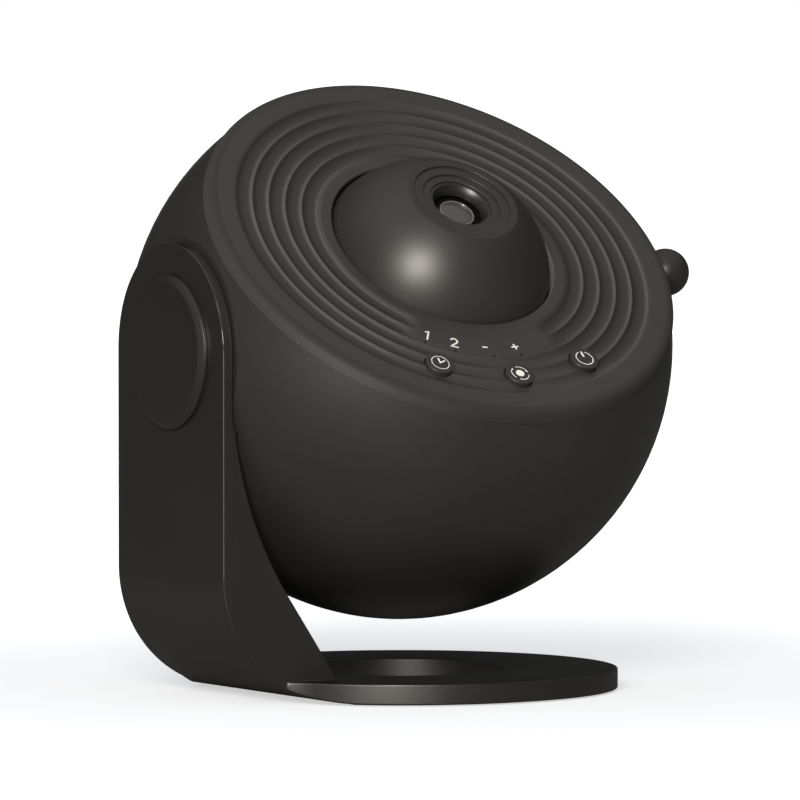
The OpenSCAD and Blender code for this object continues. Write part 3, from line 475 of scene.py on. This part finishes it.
def cleaned(target, gap, flat=0.2):
    """Takes away the slivers shorter than a gap, and joins faces that are flat to each other."""
    edit = bmesh.new()
    edit.from_mesh(target.data)
    bmesh.ops.remove_doubles(edit, verts=edit.verts, dist=gap)
    bmesh.ops.dissolve_degenerate(edit, edges=edit.edges, dist=gap)
    bmesh.ops.dissolve_limit(edit, angle_limit=math.radians(flat), verts=edit.verts, edges=edit.edges)
    edit.to_mesh(target.data)
    edit.free()


def softened(target, width, angle, segments):
    """Rounds the edges sharper than an angle."""
    applied(target, "BEVEL", width=width, segments=segments, limit_method="ANGLE", angle_limit=math.radians(angle),
            use_clamp_overlap=False, harden_normals=False, miter_outer="MITER_ARC")


def painted(made, place, material, inside):
    """Gives the faces in a zone of the piece's own frame another material."""
    made.data.materials.append(material)
    back = place.inverted()
    for face in made.data.polygons:
        if inside(back @ face.center):
            face.material_index = 1
    return made


def finished(target, name, place, body, material, sharp=35, replaces=()):
    """Dresses a carved solid, with its large faces shaded flat."""
    mesh = target.data
    bpy.data.objects.remove(target)
    made = dress(name, mesh, place, body, material, sharp, replaces)
    made.modifiers.new("even", "WEIGHTED_NORMAL").keep_sharp = True
    made.modifiers["even"].weight = 100
    return made


# ---- stand ----

def side_outline():
    """Side view of the bent plate, as world (x, z)."""
    cx, cz = CENTRE[0], CENTRE[2]
    top = cz + ARM_W / 2 + 2
    out_x, in_x = cx - ARM_OUT, cx - ARM_IN
    hub_x, hub_z = in_x + WEDGE_R, cz - WEDGE_DROP
    wedge = math.radians(WEDGE_ANGLE)
    end_x = hub_x - WEDGE_R * math.cos(wedge)
    end_z = hub_z - WEDGE_R * math.sin(wedge)
    foot_x = end_x + (end_z - BASE_T) * math.tan(wedge)
    points = [(out_x, top)]
    points += arc(out_x + BEND_R, BEND_R, BEND_R, 180, 270, 40)
    points += [(BASE_R + 4, 0), (BASE_R + 4, BASE_T), (foot_x, BASE_T)]
    points += arc(hub_x, hub_z, WEDGE_R, 180 + WEDGE_ANGLE, 180, 36)
    points += [(in_x, top)]
    return points


def pivot_rod(x0, x1, r, steps=160):
    return disc(r, x0, x1, steps, Matrix.Translation(CENTRE) @ Matrix.Rotation(math.radians(-90), 4, "Y"))


def web(side):
    """The concave corner, seen from above, between the ring and the arm's side."""
    cx, cy = polar(BASE_R + CORNER_R, CORNER_AT)
    meet = 180 - math.degrees(math.asin((-ARM_W / 2 - cy) / CORNER_R))
    outline = arc(cx, cy, CORNER_R, CORNER_AT - 180, 180 - meet, 10)
    outline += [(outline[-1][0], 1 - ARM_W / 2), (outline[0][0] + 2, 1 - ARM_W / 2)]
    return solid(*extruded([(x, -side * y) for x, y in outline], -1, BASE_T + 0.002))


def build_bracket():
    upright = Matrix.Rotation(math.radians(90), 4, "X")
    plate = solid(*extruded(side_outline(), -70, 70), upright)
    plan = disc(BASE_R, -1, BASE_T + 0.002, 256)
    carve(plan, "UNION", block((-90, -ARM_W / 2, -1), (20, ARM_W / 2, CENTRE[2])),
          pivot_rod(BOSS_END - 20, ARM_OUT + 4, ARM_W / 2, 192), web(1), web(-1))
    carve(plate, "INTERSECT", plan)
    ball = solid(*revolved(arc(0, 0, SCOOP_R, -90, 90, 96), 192, closed=False), Matrix.Translation(CENTRE))
    inner = CENTRE[0] - ARM_IN
    carve(ball, "INTERSECT", block((inner, -90, -20), (90, 90, 180)))
    carve(plate, "DIFFERENCE", ball)
    carve(plate, "UNION", pivot_rod(BOSS_END, ARM_IN + 0.5, BOSS_R, 96))
    groove = solid(*revolved([(PAD_IN, -1), (PAD_OUT, -1), (PAD_OUT, PAD_DEEP), (PAD_IN, PAD_DEEP)], 192))
    carve(groove, "INTERSECT", block((PAD_CUT_X, -90, -5), (90, 90, 5)))
    carve(plate, "DIFFERENCE", disc(BORE_R, -2, BASE_T + 2, 192), groove,
          pivot_rod(BOSS_END - 1, ARM_OUT + 1, HUB_BORE_R, 64),
          pivot_rod(ARM_OUT - COUNTER_D, ARM_OUT + 1, COUNTER_R, 96))
    cleaned(plate, 0.05)
    softened(plate, STAND_EDGE, 24, 3)
    return finished(plate, "stand_body", WORLD, "stand", looks["stand_plastic"], 30,
                    ["stand_bracket"])


def build_cap():
    edge = ARM_OUT + CAP_HIGH
    lip_in, lip_out = CAP_LIP
    wide, deep = CAP_BEVEL
    profile = rounded([(0, ARM_OUT + 1.1), (lip_in, ARM_OUT + 1.1, 0.2), (lip_in, ARM_OUT - 1.1),
                       (lip_out, ARM_OUT - 1.1), (lip_out, ARM_OUT, 0.1), (CAP_R, ARM_OUT, 0.15),
                       (CAP_R, edge - deep, 0.12), (CAP_R - wide, edge, 0.6), (0, edge)], closed=False)
    verts, faces = revolved(profile, 160, closed=False)
    return piece("pivot_cover", verts, faces, PIVOT, "stand", "stand_plastic", looks["stand_plastic"], 40,
                 ["pivot_cap"])


# ---- head ----

def ripple_points():
    """The five ripples, with their ridges just taken off."""
    curve = RIPPLE_PITCH ** 2 / (8 * RIPPLE_DEPTH) + RIPPLE_DEPTH / 2
    out = [(RIPPLE_R - 0.6, FACE_Z)]
    for k in range(RIPPLES):
        start = RIPPLE_R + k * RIPPLE_PITCH
        for i in range(1, 20):
            t = i / 20
            dip = math.sqrt(curve ** 2 - ((t - 0.5) * RIPPLE_PITCH) ** 2) - curve + RIPPLE_DEPTH
            out.append((start + t * RIPPLE_PITCH, FACE_Z - dip))
        if k < RIPPLES - 1:
            out.append((start + RIPPLE_PITCH, FACE_Z - RIDGE_CUT))
    end = RIPPLE_R + RIPPLES * RIPPLE_PITCH
    out += [(end, FACE_Z - 0.06), (end + 0.6, FACE_Z)]
    return out


def faded(angle, r, z):
    """The inner ripples run out before the printed figures, and the outer ones grow faint round the keys."""
    if not (RIPPLE_R < r < 51.5 and FACE_Z - 0.8 < z < FACE_Z):
        return z
    turn = math.degrees(angle) % 360
    near = min(1, max(0, (turn - FADE[0]) / FADE_OVER)) * min(1, max(0, (FADE[1] - turn) / FADE_OVER))
    near = near * near * (3 - 2 * near)
    inner = min(1, max(0, (FADE_R[1] - r) / (FADE_R[1] - FADE_R[0])))
    return FACE_Z - (FACE_Z - z) * (1 - near * (0.45 + 0.55 * inner))


def rolled_rim(cover):
    """Parts the rolled rim from the cover, and turns its shading evenly from the face towards the ball's slope."""
    rim = linked("rolled_rim", cover.data.copy())
    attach(rim, "head")
    back, there = HEAD.inverted(), HEAD.to_3x3().normalized()
    for made, keep in ((cover, False), (rim, True)):
        edit = bmesh.new()
        edit.from_mesh(made.data)
        drop = []
        for face in edit.faces:
            p = back @ face.calc_center_median()
            if (math.hypot(p.x, p.y) > RIM_R - RIM_ROLL + 0.03 and p.z > PART_Z + 0.02) != keep:
                drop.append(face)
        bmesh.ops.delete(edit, geom=drop, context="FACES")
        edit.to_mesh(made.data)
        edit.free()
    mesh = rim.data
    mesh.shade_smooth()
    normals = [Vector((0, 0, 1))] * len(mesh.loops)
    for loop in mesh.loops:
        p = back @ mesh.vertices[loop.vertex_index].co
        r = math.hypot(p.x, p.y)
        up = max(0.0, min(1.0, (p.z - FACE_Z + RIM_ROLL) / RIM_ROLL))
        path = (math.pi / 2 - math.asin(up)) * RIM_ROLL + max(0.0, FACE_Z - RIM_ROLL - p.z)
        part = min(1.0, path / RIM_PATH)
        tilt = math.radians(90 - RIM_TURN * part * part * (3 - 2 * part))
        normals[loop.index] = there @ Vector((p.x / r * math.cos(tilt), p.y / r * math.cos(tilt), math.sin(tilt)))
    mesh.normals_split_custom_set(normals)


def build_cover():
    guide_out = GUIDE_IN + GUIDE_WALL
    skirt_in, skirt_out = SKIRT
    profile = rounded([(GUIDE_IN, UNDER_Z), (HOLE_R, UNDER_Z, 0.15), (HOLE_R, FACE_Z, 0.4), (RIPPLE_R - 0.7, FACE_Z)],
                      closed=False)
    profile += ripple_points()
    profile += arc(RIM_R - RIM_ROLL, FACE_Z - RIM_ROLL, RIM_ROLL, 90, 0, 14)
    profile += rounded([(RIM_R, FACE_Z - 2.6), (RIM_R, PART_Z, 0.12), (skirt_out, PART_Z), (skirt_out, PART_Z - 3),
                        (skirt_in, PART_Z - 3), (skirt_in, UNDER_Z), (guide_out, UNDER_Z), (guide_out, GUIDE_LOW),
                        (GUIDE_IN, GUIDE_LOW)], closed=False)
    cover = solid(*revolved(profile, 256, shape=faded))
    holes = [(angle, BUTTON_RING, BUTTON_R + BUTTON_GAP, 64) for angle in BUTTON_ANGLES.values()]
    holes += [(angle, PIN_RING, PIN_R, 24) for angle in PIN_ANGLES]
    for angle, ring, r, steps in holes:
        carve(cover, "DIFFERENCE", disc(r, UNDER_Z - 1, FACE_Z + 1, steps, round_axis(ring, angle)))
    for angle, ring, low, r, hole, deep in BOSSES:
        there = round_axis(ring, angle)
        carve(cover, "UNION", disc(r, low, UNDER_Z + 0.4, 40, there))
        carve(cover, "DIFFERENCE", disc(hole, low - 1, low + deep, 24, there))
    made = finished(cover, "face_plate", HEAD, "head", looks["head_plastic"], 32, ["face_cover"])
    rolled_rim(made)
    return made


def build_dome():
    def elevation(z, r):
        return math.degrees(math.asin((z - DOME_Z) / r))

    top_r = math.sqrt(DOME_R ** 2 - (DOME_TOP - DOME_Z) ** 2)
    outer = arc(0, DOME_Z, DOME_R, elevation(DOME_FOOT, DOME_R), elevation(DOME_TOP, DOME_R) - 1.6, 40)
    side, drop = polar(MOUTH_TURN, 8)
    mouth = arc(MOUTH_IN + side, ROOF - drop, MOUTH_TURN, 135, 172, 10)
    wall = DOME_R - DOME_WALL
    inner = arc(0, DOME_Z, wall, elevation(ROOF, wall), elevation(DOME_FOOT, wall), 24)
    recess = []
    for k, r in enumerate(STEPS):
        recess += [(r, DOME_TOP - k * STEP, 0.2), (r, DOME_TOP - (k + 1) * STEP)]
    low, high = FLANGE
    cell_in, cell_out = CELL
    profile = rounded(
        [(FLANGE_IN, low, 0.1), (27.14, low, 0.2)] + outer + [(top_r, DOME_TOP, 0.9)] + recess + mouth
        + [(cell_in, ROOF), (cell_in, ROOF - CELL_DEEP), (cell_out, ROOF - CELL_DEEP), (cell_out, ROOF)]
        + inner + [(24.94, DOME_FOOT), (24.94, high), (FLANGE_IN, high, 0.1)], n=5)
    dome = solid(*revolved(profile, 192))
    for angle in (0, 120, 240):
        carve(dome, "DIFFERENCE", disc(1.5, 27, 29.55, 32, round_axis(MAGNET_RING, angle)))
    made = finished(dome, "lens_dome", HEAD, "dome", looks["head_plastic"], 32, ["dome_cover"])
    # The mouth's wall gets the polished material, painted darker as shade.
    return painted(made, HEAD, MOUTH, lambda p: math.hypot(p.x, p.y) < MOUTH_R and p.z > ROOF - 0.01)


def build_lens():
    edge, low = LENS_EDGE, LENS_LOW
    crown = [(r, edge + 0.66 - LENS_SPHERE + math.sqrt(LENS_SPHERE ** 2 - r ** 2))
             for r in (0, 0.6, 1.2, 1.8, 2.4, 2.9, 3.3, 3.6, 3.82)]
    profile = crown + rounded([crown[-1], (3.9, edge + 0.02, 0.04), (4.0, edge + 0.2, 0.16),
                               (LENS_NECK, edge + 0.12, 0.2), (LENS_NECK, low + 1.4), (LENS_R, low + 1.4, 0.1),
                               (LENS_R, low, 0.1), (0, low)], 5, closed=False)[1:]
    verts, faces = revolved(profile, 96, closed=False)
    # The lens's grey is a painted reflection.
    made = piece("objective", verts, faces, HEAD, "dome", "glass", COATED_LENS_REFLECTION, 40, ["front_lens"])
    # The lens is a lighter grey round its rim.
    return painted(made, HEAD, LENS_RIM_GREY, lambda p: math.hypot(p.x, p.y) > RIM_GREY_FROM)


def build_knob():
    profile = rounded([(1.5, -6.1), (2.2, -6.05, 0.15), (2.4, -5.2)], closed=False) + arc(0, 0, KNOB_R, -64, 90, 40)
    profile[-1] = (0, KNOB_R)
    verts, faces = revolved(profile, 96, closed=False)
    place = (HEAD @ Matrix.Rotation(math.radians(LEVER_ANGLE), 4, "Z") @ Matrix.Translation((KNOB_X, 0, LEVER_Z))
             @ Matrix.Rotation(math.radians(90), 4, "Y"))
    return piece("lever_ball", verts, faces, place, "focus", "head_plastic", looks["head_plastic"], 50, ["focus_knob"])


# ---- keys and printing ----

def at_face(angle, ring, z, facing=None):
    """A frame on the face: X to the right, Y towards the lens or as at the facing angle, Z out."""
    f = math.radians(angle if facing is None else facing)
    there = Matrix.Identity(4)
    there.col[0][:3] = (-math.sin(f), math.cos(f), 0)
    there.col[1][:3] = (-math.cos(f), -math.sin(f), 0)
    there.col[3][:3] = (*polar(ring, angle), z)
    return HEAD @ there


def stroke(points, width, closed=False):
    """The left and right edge of a ribbon along 2D points, mitred at its bends."""
    count = len(points)
    left, right = [], []
    for i, p in enumerate(points):
        before = points[i - 1] if (i or closed) else None
        after = points[(i + 1) % count] if (i < count - 1 or closed) else None
        ways = []
        if before:
            ways.append(Vector((p[0] - before[0], p[1] - before[1])).normalized())
        if after:
            ways.append(Vector((after[0] - p[0], after[1] - p[1])).normalized())
        way = sum(ways, Vector((0, 0))).normalized()
        side = Vector((-way.y, way.x))
        grow = 1 / max(0.5, side.dot(Vector((-ways[0].y, ways[0].x))))
        left.append(Vector(p) + side * width / 2 * grow)
        right.append(Vector(p) - side * width / 2 * grow)
    return left, right


def ribbon(points, width, closed=False):
    left, right = stroke(points, width, closed)
    n = len(points)
    verts = [(p.x, p.y, z) for z in (-LABEL_SUNK, LABEL_HIGH) for row in (left, right) for p in row]
    l0, r0, l1, r1 = 0, n, 2 * n, 3 * n
    faces = []
    for i in range(n if closed else n - 1):
        j = (i + 1) % n
        faces += [[l1 + i, r1 + i, r1 + j, l1 + j], [l0 + j, r0 + j, r0 + i, l0 + i],
                  [l0 + i, l1 + i, l1 + j, l0 + j], [r0 + j, r1 + j, r1 + i, r0 + i]]
    if not closed:
        faces += [[l0, r0, r1, l1], [l0 + n - 1, l1 + n - 1, r1 + n - 1, r0 + n - 1]]
    return verts, faces


def patch(points):
    return extruded(points, -LABEL_SUNK, LABEL_HIGH)


def joined(*parts):
    verts, faces = [], []
    for v, f in parts:
        faces += [[i + len(verts) for i in face] for face in f]
        verts += v
    return verts, faces


def print_mark(name, shape, angle, ring, z, body, slot, facing=None):
    return piece(name, *shape, at_face(angle, ring, z, facing), body, slot, WHITE_INK, 30)


def clock_mark():
    r = 2.3
    return joined(ribbon(arc(0, 0, r, 0, 360, 72)[:-1], 0.46, True), ribbon([(0, 1.6), (0, 0), (1.45, 0.5)], 0.38))


def power_mark():
    r = 2.25
    return joined(ribbon(arc(0, 0, r, 112, 428, 60), 0.48), ribbon([(0, 0.45), (0, 2.75)], 0.46))


def orbit_mark():
    r, barb = 2.2, 0.42
    parts = [patch(arc(0, 0, 1.05, 0, 360, 40)[:-1])]
    for a in (100, 220, 340):
        parts.append(ribbon(arc(0, 0, r, a, a - 82, 24), 0.32))
        parts.append(patch([polar(r, a - 96), polar(r + barb, a - 78), polar(r - barb, a - 78)]))
    return joined(*parts)


def digit_one():
    return joined(ribbon([(0.25, -1.6), (0.25, 1.6)], 0.42), ribbon([(0.25, 1.42), (-0.55, 0.95)], 0.38))


def digit_two():
    path = arc(0, 0.65, 0.8, 165, -35, 20) + [(-0.85, -1.4)]
    return joined(ribbon(path, 0.4), ribbon([(-1.0, -1.4), (1.0, -1.4)], 0.4))


def minus_mark():
    return ribbon([(-0.7, 0), (0.7, 0)], 0.42)


def plus_mark():
    return joined(ribbon([(-0.95, 0), (0.95, 0)], 0.4), ribbon([(0, 0.2), (0, 0.95)], 0.4),
                  ribbon([(0, -0.2), (0, -0.95)], 0.4))


def build_keys():
    marks = {"timer": clock_mark, "rotate": orbit_mark, "power": power_mark}
    collar, stem_r, stem_low = UNDER_Z - 0.3, 1.2, 27.7
    profile = rounded([(0, BUTTON_TOP - 0.1), (BUTTON_R - 0.5, BUTTON_TOP - 0.02), (BUTTON_R, BUTTON_TOP - 0.06, 0.3),
                       (BUTTON_R, collar), (BUTTON_R + 1.1, collar, 0.1), (BUTTON_R + 1.1, collar - 0.6, 0.1),
                       (stem_r, collar - 0.6), (stem_r, stem_low, 0.1), (0, stem_low)], closed=False)
    verts, faces = revolved(profile, 72, closed=False)
    for key, angle in BUTTON_ANGLES.items():
        piece(key + "_key", verts, faces, at_face(angle, BUTTON_RING, 0), key + "_key", "button_plastic",
              looks["button_plastic"], 35, [key + "_button"])
        print_mark(key + "_mark", marks[key](), angle, BUTTON_RING, BUTTON_TOP - 0.07, key + "_key", "button_plastic",
                   270)


def build_labels():
    labels = {"label_one": digit_one, "label_two": digit_two, "label_less": minus_mark, "label_more": plus_mark}
    for (name, shape), angle in zip(labels.items(), LABEL_ANGLES):
        print_mark(name, shape(), angle, LABEL_RING, FACE_Z, "head", "head_plastic")


build_bracket()
build_cap()
face_plate = build_cover()
build_dome()
build_lens()
build_knob()
build_keys()
build_labels()


# ---- floor, light and camera ----

def backdrop_seen(tree):
    """Two sockets: 1 for the rays from the camera, and 1 for those that gloss or glass sends on."""
    path = add(tree, "ShaderNodeLightPath").outputs
    return path["Is Camera Ray"], sums(tree, "MAXIMUM", path["Is Glossy Ray"], path["Is Transmission Ray"])


def build_floor():
    """A white sweep: it shows its soft shadow near the object, where a weaker glow also paints the floor a little
    darker round it, and turns into the backdrop's white further out.
    """
    mesh = bpy.data.meshes.new("floor")
    mesh.from_pydata([(x * FLOOR_SIZE, y * FLOOR_SIZE, FLOOR_Z) for x, y in ((-1, -1), (1, -1), (1, 1), (-1, 1))], [],
                     [[0, 1, 2, 3]])
    floor = linked("floor", mesh)
    material, tree, bsdf = nodes_of("floor_paint")
    bsdf.inputs["Roughness"].default_value = 0.9
    bsdf.inputs["Specular IOR Level"].default_value = 0.0
    seen, shown = backdrop_seen(tree)
    where = add(tree, "ShaderNodeTexCoord").outputs["Object"]
    away = add(tree, "ShaderNodeVectorMath", operation="LENGTH")
    tree.links.new(where, away.inputs[0])
    far = ramp(tree, away.outputs["Value"], 0.10, 0.38, 0.0, 1.0)
    unit = add(tree, "ShaderNodeVectorMath", operation="NORMALIZE")
    tree.links.new(where, unit.inputs[0])
    behind = ramp(tree, along(tree, unit.outputs["Vector"], BACKDROP), 0.96, 0.998, 0.0, 1.0)
    tree.links.new(mixed(tree, seen, (0.20, 0.20, 0.20), (0.52, 0.54, 0.585)), bsdf.inputs["Base Color"])
    bsdf.inputs["Emission Color"].default_value = (1, 1, 1, 1)
    # Weaker glow near the object: painted shade round it, besides its real shadow.
    glow = sums(tree, "ADD", FLOOR_GLOW, sums(tree, "MULTIPLY", far, 0.5))
    mirrored = sums(tree, "MULTIPLY", far, behind)
    tree.links.new(sums(tree, "ADD", sums(tree, "MULTIPLY", seen, glow), sums(tree, "MULTIPLY", shown, mirrored)),
                   bsdf.inputs["Emission Strength"])
    mesh.materials.append(material)


def build_world():
    """White behind the object, dim in front of it and softly lit from above."""
    world = bpy.data.worlds.new("studio")
    bpy.context.scene.world = world
    world.use_nodes = True
    tree = world.node_tree
    background = tree.nodes["Background"]
    seen, shown = backdrop_seen(tree)
    way = add(tree, "ShaderNodeTexCoord").outputs["Generated"]
    split = add(tree, "ShaderNodeSeparateXYZ")
    tree.links.new(way, split.inputs[0])
    behind = ramp(tree, along(tree, way, BACKDROP), 0.97, 0.998, 0.0, 1.0)
    above = ramp(tree, split.outputs["Z"], 0.35, 0.95, 0.04, 0.34)
    left = ramp(tree, along(tree, way, OVERHEAD), 0.78, 0.98, 0.0, 0.25)
    above = sums(tree, "ADD", above, left)
    mirrored = sums(tree, "MAXIMUM", behind, above)
    diffused = ramp(tree, split.outputs["Z"], -0.2, 0.9, 0.20, 0.42)
    level = sums(tree, "ADD", sums(tree, "MULTIPLY", shown, mirrored),
                 sums(tree, "MULTIPLY", sums(tree, "SUBTRACT", 1.0, shown), diffused))
    tree.links.new(sums(tree, "MAXIMUM", seen, level), background.inputs["Strength"])
    background.inputs["Color"].default_value = (1, 1, 1, 1)


def way_of(azimuth, elevation):
    """The way from the ball's centre to a lamp or the camera."""
    a, e = math.radians(azimuth), math.radians(elevation)
    return Vector((math.sin(a) * math.cos(e), -math.cos(a) * math.cos(e), math.sin(e)))


def area_light(name, way, distance, size, watts, colour=(1, 1, 1)):
    """A square lamp that faces the ball's centre."""
    lamp = bpy.data.lights.new(name, "AREA")
    lamp.shape = "RECTANGLE"
    lamp.size = lamp.size_y = size
    lamp.energy = watts
    lamp.color = colour
    made = linked(name, lamp)
    made.location = Vector(CENTRE) * MM + way * distance
    made.rotation_mode = "QUATERNION"
    made.rotation_quaternion = (-way).to_track_quat("-Z", "Y")
    return made


def rake(face):
    """A low lamp that skims the face from the left, lights nothing else and leaves no glare on it."""
    up = math.radians(RAKE_UP)
    way = HEAD.to_3x3().normalized() @ Vector((-math.cos(up), 0, math.sin(up)))
    made = area_light("rake", way, RAKE_AWAY, RAKE_SIZE, RAKE_WATTS)
    made.visible_glossy = False
    only = bpy.data.collections.new("face_only")
    only.objects.link(face)
    made.light_linking.receiver_collection = only
    made.light_linking.blocker_collection = only


def build_camera():
    azimuth, elevation = CAMERA_WAY
    down, beside = CAMERA_AIM
    data = bpy.data.cameras.new("camera")
    data.sensor_width = 36.0
    data.lens = CAMERA_LENS
    data.clip_start, data.clip_end = 0.05, 50
    camera = linked("camera", data)
    camera.location = Vector(CENTRE) * MM + way_of(azimuth, elevation) * CAMERA_AWAY
    camera.rotation_euler = (math.radians(90 - elevation - down), 0, math.radians(azimuth - beside))
    bpy.context.scene.camera = camera


build_floor()
build_world()
area_light("key", way_of(*KEY_WAY), KEY_AWAY, KEY_SIZE, KEY_WATTS, KEY_COLOUR)
rake(face_plate)
build_camera()
bpy.context.scene.view_settings.view_transform = "Standard"
